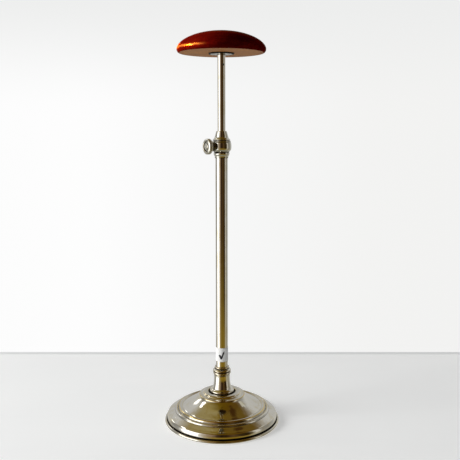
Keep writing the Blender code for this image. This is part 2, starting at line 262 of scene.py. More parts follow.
def bare_wood():
    """The cap's raw underside: tan, faced off on the lathe, with rings from the tool, grain, pores and old hand marks."""
    made, t = material("bare_mahogany")
    here = t.place()
    x, y, z = t.xyz(here)
    radius = t.vec("LENGTH", t.join(x, y, 0.0))
    bent = t.math("ADD", y, t.math("MULTIPLY", t.noise(t.join(t.math("MULTIPLY", x, 0.3), y, z), 30.0, 2.0), 0.010))
    figure = t.noise(t.join(t.math("MULTIPLY", x, 0.05), bent, z), 260.0, 6.0, 0.62, 0.4)
    pores = t.remap(t.noise(t.join(t.math("MULTIPLY", x, 0.08), bent, z), 2400.0, 2.0, 0.5), 0.60, 0.70, smooth=True)
    rings = t.noise(t.join(radius, 0.0, 0.0), 1500.0, 2.0, 0.6)
    grime_and_shade = t.remap(t.noise(here, 45.0, 4.0, 0.6), 0.45, 0.75, smooth=True)
    rim = t.remap(radius, 0.047, 0.054, smooth=True)
    colour = t.ramp(figure, [(0.28, (0.21, 0.074, 0.013)), (0.52, (0.37, 0.148, 0.030)), (0.75, (0.49, 0.225, 0.052))])
    colour = t.mix(t.math("MULTIPLY", pores, 0.55), colour, (0.10, 0.045, 0.020))
    colour = t.mix(t.math("MULTIPLY", grime_and_shade, 0.35), colour, (0.20, 0.10, 0.045))
    colour = t.mix(t.math("MULTIPLY", rings, 0.20), colour, (0.17, 0.085, 0.040))
    colour = t.mix(t.math("MULTIPLY", rim, 0.45), colour, (0.20, 0.055, 0.020))
    bump = t.bump(rings, 0.00006)
    bump = t.bump(figure, 0.00006, 1.0, bump)
    bump = t.bump(t.math("MULTIPLY", pores, -1.0), 0.00003, 1.0, bump)
    t.shader(colour, t.remap(figure, 0.3, 0.7, 0.55, 0.75), bump, IOR=1.4)
    return made


def paper():
    made, t = material("paper_tag")
    here = t.place()
    fibre = t.noise(here, 2600.0, 4.0, 0.7)
    blot = t.remap(t.noise(here, 160.0, 3.0, 0.6), 0.50, 0.72, smooth=True)
    border = t.attribute("wear")
    colour = t.mix(t.math("MULTIPLY", blot, 0.14), (0.93, 0.93, 0.92), (0.84, 0.80, 0.72))
    colour = t.mix(t.math("MULTIPLY", fibre, 0.10), colour, (0.70, 0.69, 0.66))
    colour = t.mix(t.math("MULTIPLY", border, 0.22), colour, (0.52, 0.47, 0.38))
    bump = t.bump(fibre, 0.00001)
    bump = t.bump(t.noise(here, 300.0, 2.0, 0.5), 0.00006, 1.0, bump)
    t.shader(colour, t.remap(fibre, 0.3, 0.7, 0.62, 0.80), bump, IOR=1.4)
    return made


def ink():
    made, t = material("pen_ink")
    here = t.place()
    pool = t.noise(here, 1800.0, 3.0, 0.6)
    colour = t.mix(pool, (0.010, 0.010, 0.016), (0.030, 0.028, 0.036))
    t.shader(colour, t.remap(pool, 0.3, 0.7, 0.35, 0.6), t.bump(pool, 0.00001), IOR=1.45)
    return made


def felt():
    made, t = material("green_felt")
    here = t.place()
    fuzz = t.noise(here, 1500.0, 5.0, 0.75, 1.0)
    patch = t.noise(here, 60.0, 4.0, 0.6)
    colour = t.ramp(fuzz, [(0.30, (0.012, 0.030, 0.016)), (0.55, (0.030, 0.072, 0.038)), (0.75, (0.070, 0.130, 0.075))])
    colour = t.mix(t.remap(patch, 0.45, 0.75, 0.0, 0.5, smooth=True), colour, (0.085, 0.085, 0.060))
    bump = t.bump(fuzz, 0.00030)
    t.shader(colour, t.remap(fuzz, 0.3, 0.7, 0.85, 1.0), bump, IOR=1.35,
             Sheen_Weight=0.35, Sheen_Roughness=0.5, Sheen_Tint=(0.45, 0.60, 0.45, 1.0))
    return made


def steel():
    made, t = material("plain_steel")
    here = t.place()
    turn = t.noise(t.vec("MULTIPLY", here, (1.0, 1.0, 4.0)), 900.0, 3.0, 0.6)
    rust = t.remap(t.noise(here, 320.0, 5.0, 0.65, 0.5), 0.54, 0.70, smooth=True)
    colour = t.mix(turn, (0.30, 0.29, 0.28), (0.50, 0.49, 0.47))
    colour = t.mix(t.math("MULTIPLY", rust, 0.7), colour, (0.15, 0.065, 0.030))
    roughness = t.math("ADD", t.remap(turn, 0.3, 0.7, 0.25, 0.42), t.math("MULTIPLY", rust, 0.35))
    metal = t.remap(rust, 0.0, 1.0, 1.0, 0.35)
    t.shader(colour, roughness, t.bump(t.math("ADD", turn, rust), 0.00002), metal)
    return made


def iron():
    made, t = material("rough_cast_iron")
    here = t.place()
    sand = t.noise(here, 900.0, 5.0, 0.7)
    rust = t.remap(t.noise(here, 90.0, 5.0, 0.65, 0.5), 0.50, 0.68, smooth=True)
    colour = t.mix(sand, (0.030, 0.028, 0.027), (0.085, 0.080, 0.076))
    colour = t.mix(t.math("MULTIPLY", rust, 0.6), colour, (0.14, 0.055, 0.022))
    t.shader(colour, t.remap(sand, 0.3, 0.7, 0.6, 0.85), t.bump(sand, 0.00035), 0.6)
    return made


def brass():
    made, t = material("raw_brass")
    here = t.place()
    turn = t.noise(t.vec("MULTIPLY", here, (1.0, 1.0, 3.0)), 1300.0, 3.0, 0.6)
    dull = t.remap(t.noise(here, 300.0, 4.0, 0.6), 0.45, 0.70, smooth=True)
    colour = t.mix(turn, (0.60, 0.42, 0.17), (0.76, 0.56, 0.25))
    colour = t.mix(t.math("MULTIPLY", dull, 0.5), colour, (0.30, 0.19, 0.08))
    t.shader(colour, t.remap(dull, 0.0, 1.0, 0.22, 0.42), t.bump(turn, 0.00001), 1.0)
    return made


def fibre():
    made, t = material("vulcanised_fibre")
    here = t.place()
    layer = t.noise(t.vec("MULTIPLY", here, (1.0, 1.0, 6.0)), 700.0, 4.0, 0.6)
    colour = t.mix(layer, (0.10, 0.028, 0.016), (0.24, 0.075, 0.040))
    t.shader(colour, t.remap(layer, 0.3, 0.7, 0.45, 0.65), t.bump(layer, 0.00003), IOR=1.5)
    return made


BASE_PIT = (0.0478, -0.0262, 0.0226)
M_BASE = nickel("nickel_spun_base", "ring", base=(0.70, 0.675, 0.61), brass=(0.68, 0.54, 0.27), wave=1.0, rough=(0.02, 0.075), pit=BASE_PIT)
M_TURNED = nickel("nickel_turned", "ring", base=(0.73, 0.70, 0.63), wave=0.7, rough=(0.05, 0.14), wear=0.35)
M_COLLAR = nickel("nickel_collar", "ring", base=(0.66, 0.645, 0.585), tarnish=(0.52, 0.47, 0.34), wave=0.4, rough=(0.05, 0.13), wear=0.10)
# Painted shade: this dark nickel stands for the shade on the thumbscrew boss; the grub screw is blackened with it too.
M_STEM = nickel("nickel_blackened_and_painted_shade", "ring", base=(0.16, 0.15, 0.12), tarnish=(0.05, 0.045, 0.03), brass=(0.20, 0.17, 0.09), wave=0.4, rough=(0.20, 0.40), wear=0.1)
# Painted shade: the flange under the cap gets a dark nickel for the cap's shade.
M_FLANGE = nickel("nickel_flange", "ring", base=(0.25, 0.245, 0.20), tarnish=(0.09, 0.08, 0.05), wave=0.8, rough=(0.10, 0.24), wear=0.2)
M_TUBE = nickel("nickel_drawn_tube", "axial", base=(0.74, 0.71, 0.65), wave=0.16, rough=(0.05, 0.11), wear=0.5)
M_ROD = nickel("nickel_drawn_rod", "axial", base=(0.73, 0.69, 0.61), wave=0.10, rough=(0.06, 0.12), wear=0.5)
M_WOOD, M_BARE = mahogany(), bare_wood()
M_PAPER, M_INK, M_FELT = paper(), ink(), felt()
M_STEEL, M_IRON, M_BRASS, M_FIBRE = steel(), iron(), brass(), fibre()


# ================================================================ shape helpers
def rounded(points, closed=False, steps=4):
    """Profile corners given as (r, h, fillet) become small arcs."""
    out, count = [], len(points)
    for i, point in enumerate(points):
        r, h = point[0], point[1]
        size = point[2] if len(point) > 2 else 0.0
        if size <= 0 or (not closed and i in (0, count - 1)):
            out.append((r, h))
            continue
        p = Vector((r, h))
        a = Vector(points[i - 1][:2]) - p
        b = Vector(points[(i + 1) % count][:2]) - p
        cut = min(size, a.length * 0.45, b.length * 0.45)
        start, end = p + a.normalized() * cut, p + b.normalized() * cut
        for k in range(steps + 1):
            s = k / steps
            out.append(tuple((1 - s) ** 2 * start + 2 * s * (1 - s) * p + s * s * end))
    return out


def flow(points, steps=5):
    """A smooth curve through the points (Catmull-Rom), ends included."""
    p = [Vector(q[:2]) for q in points]
    p = [p[0] * 2 - p[1]] + p + [p[-1] * 2 - p[-2]]
    out = []
    for i in range(1, len(p) - 2):
        for k in range(steps):
            s = k / steps
            out.append(tuple(0.5 * (
                2 * p[i] + (p[i + 1] - p[i - 1]) * s
                + (2 * p[i - 1] - 5 * p[i] + 4 * p[i + 1] - p[i + 2]) * s * s
                + (3 * p[i] - p[i - 1] - 3 * p[i + 1] + p[i + 2]) * s ** 3)))
    out.append(tuple(p[-2]))
    return out


def arc(cr, ch, radius, start, end, steps=10):
    return [(cr + radius * math.cos(math.radians(start + (end - start) * k / steps)),
             ch + radius * math.sin(math.radians(start + (end - start) * k / steps))) for k in range(steps + 1)]


def tidy(points, least=0.02):
    out = [points[0]]
    for q in points[1:]:
        if math.hypot(q[0] - out[-1][0], q[1] - out[-1][1]) > least:
            out.append(q)
    return out


def bends(points, closed):
    """(wear, cavity) along a profile: how sharply it turns outwards and inwards, in turns per millimetre, softened."""
    n = len(points)
    turn, length = [0.0] * n, [0.0] * n
    for i in range(n):
        if not closed and i in (0, n - 1):
            length[i] = 0.5
            continue
        a, b, c = points[i - 1], points[i], points[(i + 1) % n]
        d1 = (b[0] - a[0], b[1] - a[1])
        d2 = (c[0] - b[0], c[1] - b[1])
        cross = d1[0] * d2[1] - d1[1] * d2[0]
        turn[i] = -math.atan2(cross, d1[0] * d2[0] + d1[1] * d2[1])
        length[i] = 0.5 * (math.hypot(*d1) + math.hypot(*d2))
    place, total = [], 0.0
    for i in range(n):
        if i:
            total += math.hypot(points[i][0] - points[i - 1][0], points[i][1] - points[i - 1][1])
        place.append(total)
    wear, cavity = [], []
    for i in range(n):
        s = 0.0
        w = 0.0
        for j in range(n):
            d = abs(place[i] - place[j])
            if d < 1.5:
                k = math.exp(-(d / 0.42) ** 2)
                s += k * turn[j]
                w += k * length[j]
        bend = s / max(w, 0.3)
        wear.append(min(max((bend - 0.18) / 0.9, 0.0), 1.0))
        cavity.append(min(max((-bend - 0.16) / 0.8, 0.0), 1.0))
    return wear, cavity


def lathe(name, profile, materials, segs=96, closed=True, matrix=None, reshape=None, slots=None, grime_and_shade=None, keep=1.0,
          wear_and_highlight=None):
    """Turns a millimetre profile about its axis, outer side first and downwards. reshape(point, r, h, angle) may move
    points.
    keep scales the near-black painted shade, partly soiling, that bends() finds in concave corners; grime_and_shade(r,
    h) adds painted shade in grooves and between parts, and wear_and_highlight(r, h) adds wear, on the cap a painted
    highlight band."""
    profile = tidy(profile)
    if closed and math.hypot(profile[0][0] - profile[-1][0], profile[0][1] - profile[-1][1]) < 0.02:
        profile.pop()
    wear, cavity = bends(profile, closed)
    cavity = [min(1.0, c * keep + (grime_and_shade(*q) if grime_and_shade else 0.0)) for c, q in zip(cavity, profile)]
    wear = [min(1.0, w + (wear_and_highlight(*q) if wear_and_highlight else 0.0)) for w, q in zip(wear, profile)]
    bm = bmesh.new()
    l_wear = bm.verts.layers.float.new("wear")
    l_cavity = bm.verts.layers.float.new("cavity")
    l_at = bm.verts.layers.float_vector.new("turned_at")
    rings = []
    for (r, h), w, c in zip(profile, wear, cavity):
        ring = []
        for k in range(1 if r < 1e-4 else segs):
            a = 2 * math.pi * k / segs
            p = Vector((r * math.cos(a), r * math.sin(a), h))
            if reshape is not None:
                p = Vector(reshape(p, r, h, a))
            v = bm.verts.new(p * MM)
            v[l_wear], v[l_cavity], v[l_at] = w, c, Vector((r * math.cos(a), r * math.sin(a), h)) * MM
            ring.append(v)
        rings.append(ring)
    pairs = list(zip(range(len(rings) - 1), range(1, len(rings))))
    if closed:
        pairs.append((len(rings) - 1, 0))
    for i, j in pairs:
        upper, lower = rings[i], rings[j]
        if len(upper) == 1 and len(lower) == 1:
            continue
        for k in range(segs):
            m = (k + 1) % segs
            if len(upper) == 1:
                face = (upper[0], lower[k], lower[m])
            elif len(lower) == 1:
                face = (upper[k], lower[0], upper[m])
            else:
                face = (upper[k], lower[k], lower[m], upper[m])
            made = bm.faces.new(face)
            if slots is not None:
                made.material_index = slots(profile[i], profile[j])
    bmesh.ops.recalc_face_normals(bm, faces=bm.faces)
    mesh = bpy.data.meshes.new(name)
    bm.to_mesh(mesh)
    bm.free()
    if matrix is not None:
        mesh.transform(matrix)
    for one in materials if isinstance(materials, (list, tuple)) else [materials]:
        mesh.materials.append(one)
    obj = bpy.data.objects.new(name, mesh)
    scene.collection.objects.link(obj)
    smooth(obj)
    return obj


def smooth(obj, degrees=38.0):
    obj.data.shade_smooth()
    obj.data.set_sharp_from_angle(angle=math.radians(degrees))


def join_shape(obj, other, operation):
    """Applies a Boolean to obj and removes the other shape."""
    modifier = obj.modifiers.new("cut", "BOOLEAN")
    modifier.operation, modifier.solver, modifier.object = operation, "EXACT", other
    graph = bpy.context.evaluated_depsgraph_get()
    mesh = bpy.data.meshes.new_from_object(obj.evaluated_get(graph))
    obj.modifiers.clear()
    old, obj.data = obj.data, mesh
    bpy.data.meshes.remove(old)
    mesh.name = obj.name
    spare = other.data
    bpy.data.objects.remove(other)
    bpy.data.meshes.remove(spare)
    smooth(obj)
    return obj


def block(name, size, matrix, mat=None):
    """A bar, millimetres, for slots cut in screw heads."""
    bm = bmesh.new()
    bmesh.ops.create_cube(bm, size=1.0)
    bmesh.ops.scale(bm, vec=Vector(size) * MM, verts=bm.verts)
    mesh = bpy.data.meshes.new(name)
    bm.to_mesh(mesh)
    bm.free()
    mesh.transform(matrix)
    if mat is not None:
        mesh.materials.append(mat)
    obj = bpy.data.objects.new(name, mesh)
    scene.collection.objects.link(obj)
    return obj


def radial(azimuth, height):
    """Local +Z along a horizontal direction from the stand's axis."""
    a = math.radians(azimuth)
    return (Matrix.Translation((0, 0, height * MM)) @ Matrix.Rotation(a, 4, "Z")
            @ Matrix.Rotation(math.pi / 2, 4, "Y"))


def at(x, y, z):
    return Matrix.Translation(Vector((x, y, z)) * MM)


def place(obj, body, slot, *nodes):
    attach(obj, body)
    if nodes:
        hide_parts(*nodes)
    return obj


# ================================================================ base
def base_profile():
    outer = rounded([(5.0, 39.6), (15.9, 39.6, 0.12), (16.3, 38.95, 0.2), (18.0, 38.95, 0.2), (18.3, 39.7)])
    outer += flow([(18.45, 40.1), (18.9, 40.42), (19.8, 40.58), (21.4, 40.6), (22.9, 40.38), (24.1, 39.95),
                   (24.9, 39.35), (25.35, 38.85)])
    outer += flow([(25.6, 38.45), (26.3, 37.95), (27.4, 37.55), (28.8, 37.25), (29.8, 36.98)], 4)
    outer += arc(29.9, 36.2, 0.75, 80, 20, 5)
    outer += flow([(31.2, 35.40), (32.4, 34.15), (34.0, 32.75), (37.0, 30.45), (40.0, 28.30), (44.0, 25.85), (48.0, 23.60),
                   (50.5, 22.25), (52.9, 20.90)], 5)
    outer += rounded([(53.2, 20.62), (53.45, 20.75, 0.1), (53.9, 20.95)])
    outer += arc(56.0, 18.9, 2.6, 128, 26, 16)
    outer += rounded([(58.45, 19.7), (58.9, 18.45, 0.12), (59.35, 18.35, 0.12), (59.75, 18.2)])
    outer += arc(61.2, 16.7, 2.1, 132, 12, 14)
    outer += rounded([(63.35, 16.75), (63.55, 16.2, 0.15), (64.3, 15.85)])
    outer += flow([(65.0, 15.5), (67.0, 14.4), (69.0, 13.3), (70.8, 12.4), (72.0, 11.75), (72.95, 10.95), (73.55, 10.0)], 5)
    outer += flow([(73.75, 9.5), (74.05, 8.6), (74.2, 7.6), (74.2, 6.6), (74.1, 5.7)], 4)
    outer += rounded([(74.0, 5.2), (73.95, 5.0, 0.12), (73.55, 4.6, 0.12), (73.55, 3.4, 0.15), (74.2, 3.2), (74.45, 3.4)])
    outer += arc(75.45, 2.05, 1.75, 112, -90, 18)
    inner = rounded([(71.4, 0.3, 0.2), (71.2, 0.5, 0.1), (71.2, 1.3, 0.2), (73.0, 1.5, 0.3), (73.0, 5.2, 0.3), (71.6, 10.2, 2.0),
                     (62.3, 15.0, 2.0), (53.2, 19.6, 2.0), (44.0, 24.9, 3.0), (36.0, 30.2, 3.0), (25.4, 37.2, 2.0), (20.0, 38.7, 1.0),
                     (5.0, 38.7)])
    return outer + inner


def base_reshape(p, r, h, a):
    """A hundred years of knocks: a spun sheet that is no longer perfectly round or true, and a small pit."""
    if r < 26 or h < 3.6:
        return p
    fade = min((r - 26) / 12, 1.0) * min((h - 3.6) / 3.0, 1.0)
    n = noise.noise(Vector((math.cos(a) * r / 26, math.sin(a) * r / 26, h / 40)))
    m = noise.noise(Vector((math.cos(a) * r / 9, math.sin(a) * r / 9, 7.0 + h / 12)))
    lift = (0.11 * n + 0.022 * m) * fade
    spot = Vector(BASE_PIT) / MM
    d = (Vector((p.x, p.y, p.z)) - spot).length
    lift -= 0.30 * max(0.0, 1 - (d / 1.9) ** 2)
    return Vector((p.x, p.y, p.z + lift))


# Painted shade: near-black in the gap ring round the neck's foot and in the groove above the rolled rim, fainter in the
# grooves beside the beads.
def base_groove_shade(r, h):
    if 15.8 < r < 18.75 and h < 40.2:
        return 1.0
    if 73.0 < r < 74.65 and 3.1 < h < 5.8:
        return 1.0
    if 58.6 < r < 59.9 and h > 10:
        return 0.30
    if 62.9 < r < 63.9 and h > 10:
        return 0.35
    return 0.0


def base_proud(r, h):
    """Where hands and cloths have rubbed the plate through to the brass."""
    for low, high, least, much in ((24.4, 25.5, 30, 0.50), (29.6, 30.9, 30, 0.55), (53.3, 54.7, 19, 0.40), (56.9, 58.4, 19, 0.62), (60.2, 61.2, 17, 0.45),
                                   (72.4, 73.1, 10, 0.38)):
        if low < r < high and h > least:
            return much
    return 0.0


base_shell = place(
    lathe("spun_base", base_profile(), M_BASE, 180, True, None, base_reshape, None, base_groove_shade, 0.30, base_proud),
    "stand", "nickel_plate", "base_shell")


def felt_reshape(p, r, h, a):
    n = noise.noise(Vector((math.cos(a) * 9, math.sin(a) * 9, h * 0.7)))
    if r > 66:
        p = Vector((p.x * (1 + 0.0035 * n - 0.0035), p.y * (1 + 0.0035 * n - 0.0035), p.z))
    if h < 0.3 and r < 66:
        p.z += 0.05 + 0.05 * noise.noise(Vector((p.x / 4, p.y / 4, 0)))
    return p


felt_profile = [(0.0, 1.5)] + [(r, 1.5) for r in (15.0, 35.0, 55.0, 66.0)]
felt_profile += rounded([(68.0, 1.5), (70.4, 1.5, 0.35), (70.4, 0.0, 0.4), (68.0, 0.0)])
felt_profile += [(r, 0.0) for r in (64.0, 56.0, 48.0, 40.0, 32.0, 24.0, 16.0, 8.0)] + [(0.0, 0.0)]
felt_pad = place(lathe("felt_disc", felt_profile, M_FELT, 160, False, None, felt_reshape), "stand", "felt", "felt_pad")


# ================================================================ neck
neck_socket_profile = rounded([(0.0, 59.3), (8.3, 59.3), (8.3, 68.2, 0.1), (10.5, 68.2)])
neck_socket_profile += flow([(11.0, 68.18), (11.65, 67.85), (11.97, 67.1), (11.95, 66.2), (11.6, 65.3), (11.35, 64.7)], 4)
neck_socket_profile += rounded([(11.3, 64.5), (11.12, 64.2, 0.08), (11.0, 63.8)])
neck_socket_profile += flow([(10.78, 62.2), (10.6, 59.6), (10.7, 56.5), (10.95, 54.0), (11.3, 51.3), (11.65, 48.9),
                             (12.05, 47.2), (12.75, 45.6)], 4)
neck_socket_profile += flow([(13.0, 45.2), (13.9, 44.2), (15.0, 43.45), (15.85, 42.9), (16.2, 42.3), (16.3, 41.6)], 4)
neck_socket_profile += rounded([(16.3, 41.2), (16.3, 39.9, 0.25), (4.3, 39.9, 0.1), (4.3, 56.3), (0.0, 56.3)])
# Painted shade: near-black on the foot's underside in the base's gap ring and on the top under the bead ring, half-dark
# at the small step.
neck_socket = place(lathe("neck_turned_socket", neck_socket_profile, M_TURNED, 96, False, 
                          grime_and_shade=lambda r, h: 1.0 if h < 40.9 else (0.9 if h > 68.0 else (0.5 if 63.9 < h < 64.4 else 0.0))),
                    "stand", "nickel_plate", "neck_socket")

neck_ring_profile = rounded([(8.3, 75.3, 0.1), (8.9, 75.3)])
neck_ring_profile += flow([(9.1, 75.27), (9.55, 75.0), (9.85, 74.5), (9.9, 74.0), (9.75, 73.5), (9.5, 73.1)], 4)
neck_ring_profile += rounded([(9.4, 72.95), (9.38, 72.55, 0.1), (9.75, 72.15, 0.12), (10.1, 71.95)])
neck_ring_profile += flow([(10.6, 71.75), (11.4, 71.25), (12.05, 70.55), (12.28, 69.95), (12.2, 69.35), (11.85, 68.95)], 4)
neck_ring_profile += rounded([(11.6, 68.8), (11.1, 68.5, 0.12), (8.3, 68.5, 0.1)])
# Painted shade: near-black under the bead ring and in the groove between its two beads.
neck_ring = place(lathe("neck_bead_ring", neck_ring_profile, M_TURNED, 96, True,
                        grime_and_shade=lambda r, h: 1.0 if h < 69.65 else (1.0 if 72.2 < h < 73.6 else 0.0)),
                  "stand", "nickel_plate", "neck_ring")


# ================================================================ tube and its paper tag
def tube_reshape(p, r, h, a):
    """Small dents and a bow of a few hundredths, as drawn tube has."""
    if r < 7.5:
        return p
    n = noise.noise(Vector((math.cos(a) * 0.8, math.sin(a) * 0.8, h / 18)))
    s = 1 - 0.0022 * (n + 1) * min(1.0, (h - 60) / 8, (361 - h) / 8)
    return Vector((p.x * s, p.y * s, p.z))


tube_profile = [(8.0, 361.0), (8.0, 360.9)] + [(8.0, 360 - 300.2 * k / 100) for k in range(101)] + [(8.0, 59.7)]
tube_profile = [(7.0, 361.2), (7.85, 361.2)] + tube_profile + [(7.9, 59.6), (7.0, 59.6), (7.0, 150.0), (7.0, 250.0)]
outer_tube = place(lathe("drawn_outer_tube", tube_profile, M_TUBE, 72, True, None, tube_reshape), "stand",
                   "nickel_plate", "outer_tube")


def label():
    """A strip of paper wrapped once round the tube, its loose end lapped over at the back and a corner lifting."""
    inner, thick, lap = 8.07, 0.13, 12.0
    steps, rows = 132, 18
    bm = bmesh.new()
    l_wear = bm.verts.layers.float.new("wear")
    grid = []
    start = 95.0
    for side in (0, 1):
        sheet = []
        for i in range(steps + 1):
            s = i / steps
            degrees = start + (360.0 + lap) * s
            over = max(0.0, (s * (360 + lap) - 352.0) / 20.0)
            line = []
            for j in range(rows + 1):
                v = j / rows
                edge = min(v, 1 - v) * 18.8
                z = 83.2 + 18.8 * v
                z += 0.10 * noise.noise(Vector((s * 9.0, v * 0.5, 3.0))) * (1 if 0 < j < rows else 0.8) - 0.0
                z = min(max(z, 83.2), 102.0)
                lift = 0.16 * min(over, 1.0)
                if s > 0.975:
                    lift += 0.02 * ((s - 0.975) / 0.025) * (1 + v)
                lift += 0.015 * max(0.0, 1 - edge / 1.2) * (0.5 + noise.noise(Vector((s * 30, v * 4, 0))))
                r = min(inner + lift + thick * side, 8.4)
                a = math.radians(degrees)
                vert = bm.verts.new(Vector((r * math.cos(a), r * math.sin(a), z)) * MM)
                vert[l_wear] = max(0.0, 1 - edge / 0.6)
                line.append(vert)
            sheet.append(line)
        grid.append(sheet)
    for side in (0, 1):
        for i in range(steps):
            for j in range(rows):
                bm.faces.new((grid[side][i][j], grid[side][i + 1][j], grid[side][i + 1][j + 1], grid[side][i][j + 1]))
    for i in range(steps):
        for j in (0, rows):
            bm.faces.new((grid[0][i][j], grid[0][i + 1][j], grid[1][i + 1][j], grid[1][i][j]))
    for j in range(rows):
        for i in (0, steps):
            bm.faces.new((grid[0][i][j], grid[0][i][j + 1], grid[1][i][j + 1], grid[1][i][j]))
    bmesh.ops.recalc_face_normals(bm, faces=bm.faces)
    mesh = bpy.data.meshes.new("paper_tag")
    bm.to_mesh(mesh)
    bm.free()
    mesh.materials.append(M_PAPER)
    obj = bpy.data.objects.new("paper_tag", mesh)
    scene.collection.objects.link(obj)
    smooth(obj, 50)
    return obj


def pen_mark():
    """A hand-inked tick on the tag: a soft-ended stroke laid on the paper."""
    path = flow([(-3.5, 92.9), (-2.5, 91.5), (-1.5, 89.4), (-0.8, 87.7), (0.1, 89.6), (1.3, 92.5), (2.5, 95.4), (3.5, 97.6)], 6)
    bm = bmesh.new()
    rows = []
    for i, (s, z) in enumerate(path):
        f = i / (len(path) - 1)
        nxt = path[min(i + 1, len(path) - 1)]
        prv = path[max(i - 1, 0)]
        d = Vector((nxt[0] - prv[0], nxt[1] - prv[1])).normalized()
        side = Vector((-d.y, d.x))
        width = (1.30 - 0.30 * f) * (0.35 + 0.65 * min(1.0, f * 12, (1 - f) * 9)) * (1 + 0.18 * noise.noise(Vector((f * 8, 0, 5))))
        row = []
        for w, lift in ((-1.0, 0.0), (-0.6, 0.028), (0.0, 0.034), (0.6, 0.028), (1.0, 0.0)):
            u, v = s + side.x * width * w, z + side.y * width * w
            a = math.radians(-91.0) + u / 8.2
            r = 8.235 + lift
            row.append(bm.verts.new(Vector((r * math.cos(a), r * math.sin(a), v)) * MM))
        rows.append(row)
    for a, b in zip(rows[:-1], rows[1:]):
        for k in range(4):
            bm.faces.new((a[k], b[k], b[k + 1], a[k + 1]))
        bm.faces.new((a[0], a[4], b[4], b[0]))
    bm.faces.new(rows[0])
    bm.faces.new(rows[-1])
    bmesh.ops.recalc_face_normals(bm, faces=bm.faces)
    mesh = bpy.data.meshes.new("inked_tick")
    bm.to_mesh(mesh)
    bm.free()
    mesh.materials.append(M_INK)
    obj = bpy.data.objects.new("inked_tick", mesh)
    scene.collection.objects.link(obj)
    smooth(obj, 60)
    return obj


place(label(), "stand", "paper", "paper_label")
place(pen_mark(), "stand", "paper")


# ================================================================ collar
collar_profile = rounded([(7.2, 376.0, 0.1), (10.9, 376.0)])
collar_profile += flow([(11.2, 375.98), (11.65, 375.75), (11.85, 375.3), (11.8, 374.9), (11.62, 374.65)], 4)
collar_profile += rounded([(11.6, 374.5), (11.62, 374.2, 0.1), (11.95, 373.95)])
collar_profile += flow([(12.15, 373.6), (12.5, 372.3), (12.68, 370.6), (12.7, 368.8), (12.66, 367.0), (12.45, 365.5),
                        (12.0, 364.3), (11.2, 363.2)], 5)
collar_profile += rounded([(10.9, 362.85), (9.75, 361.7, 0.25), (9.8, 361.5, 0.1), (9.9, 361.3)])
collar_profile += flow([(10.0, 360.9), (10.2, 360.2), (10.2, 359.3), (10.05, 358.5), (9.75, 357.9)], 4)
collar_profile += flow([(9.5, 357.4), (9.1, 356.7), (8.8, 355.9), (8.68, 355.0)], 3)
collar_profile += rounded([(8.6, 354.4), (8.6, 354.0, 0.1), (8.2, 354.0, 0.1), (8.2, 361.5), (5.6, 361.5), (5.6, 372.9), (7.2, 372.9)])
# Painted shade: near-black on the top face under the cone cap, in the groove below the top bead, at the lower step and
# at the foot on the tube.
collar = lathe("collar_barrel", collar_profile, M_COLLAR, 96, True,
               grime_and_shade=lambda r, h: 0.9 if h > 375.9 or 374.1 < h < 374.9 or 361.2 < h < 362.6 or h < 354.9 else 0.0)
boss_profile = rounded([(0.0, 17.4), (4.8, 17.4, 0.25), (4.8, 14.2, 0.2)], False)[:-1]
boss_profile += flow([(4.8, 14.4), (4.95, 13.7), (5.4, 13.1), (6.1, 12.75)], 4) + [(6.2, 12.6), (6.2, 8.0), (0.0, 8.0)]
# Painted shade: the whole boss is marked near-black, for the shade between knob and barrel.
boss = lathe("boss", boss_profile, M_COLLAR, 56, False, radial(SCREW_AZIMUTH, SCREW_Z), grime_and_shade=lambda r, h: 1.0)
join_shape(collar, boss, "UNION")
drill = lathe("drill", [(0.0, 22.0), (3.0, 22.0), (3.0, 4.0), (0.0, 4.0)], M_COLLAR, 40, False,
              radial(SCREW_AZIMUTH, SCREW_Z))
join_shape(collar, drill, "DIFFERENCE")
# Painted shade: the boss's stem faces get the dark blackened material, for the shade between knob and barrel.
collar.data.materials.append(M_STEM)
axis = Vector((math.cos(math.radians(SCREW_AZIMUTH)), math.sin(math.radians(SCREW_AZIMUTH)), 0.0))
for face in collar.data.polygons:
    off = face.center - Vector((0, 0, SCREW_Z * MM))
    along = off.dot(axis)
    if along > 11.0 * MM and (off - axis * along).length < 6.3 * MM and (along > 12.9 * MM or abs(face.normal.dot(axis)) < 0.7):
        face.material_index = len(collar.data.materials) - 1
place(collar, "stand", "nickel_plate", "collar_body")

cone_profile = rounded([(5.4, 388.3, 0.15), (6.15, 388.3)])
cone_profile += flow([(6.3, 388.28), (6.62, 388.05), (6.85, 387.5), (7.1, 386.6), (7.45, 385.4), (7.95, 383.5), (8.4, 381.9),
                      (8.85, 380.5), (9.4, 379.4), (10.2, 378.5), (10.85, 377.9)], 4)
cone_profile += rounded([(11.1, 377.6), (11.2, 377.3, 0.12), (11.2, 376.3, 0.12), (7.2, 376.3, 0.1), (7.2, 382.0), (5.4, 382.0)])
place(lathe("collar_cone_cap", cone_profile, M_COLLAR, 96, True, grime_and_shade=lambda r, h: 0.9 if h < 376.9 else 0.0), "stand", "nickel_plate", "collar_cap")


# ================================================================ thumbscrew
def knob_reshape(p, r, h, a):
    """Fine straight milling on the two flanges."""
    if r < 9.75:
        return p
    bite = 0.5 + 0.5 * math.cos(a * 64)
    s = 1 - 0.0125 * bite ** 2
    return Vector((p.x * s, p.y * s, p.z))


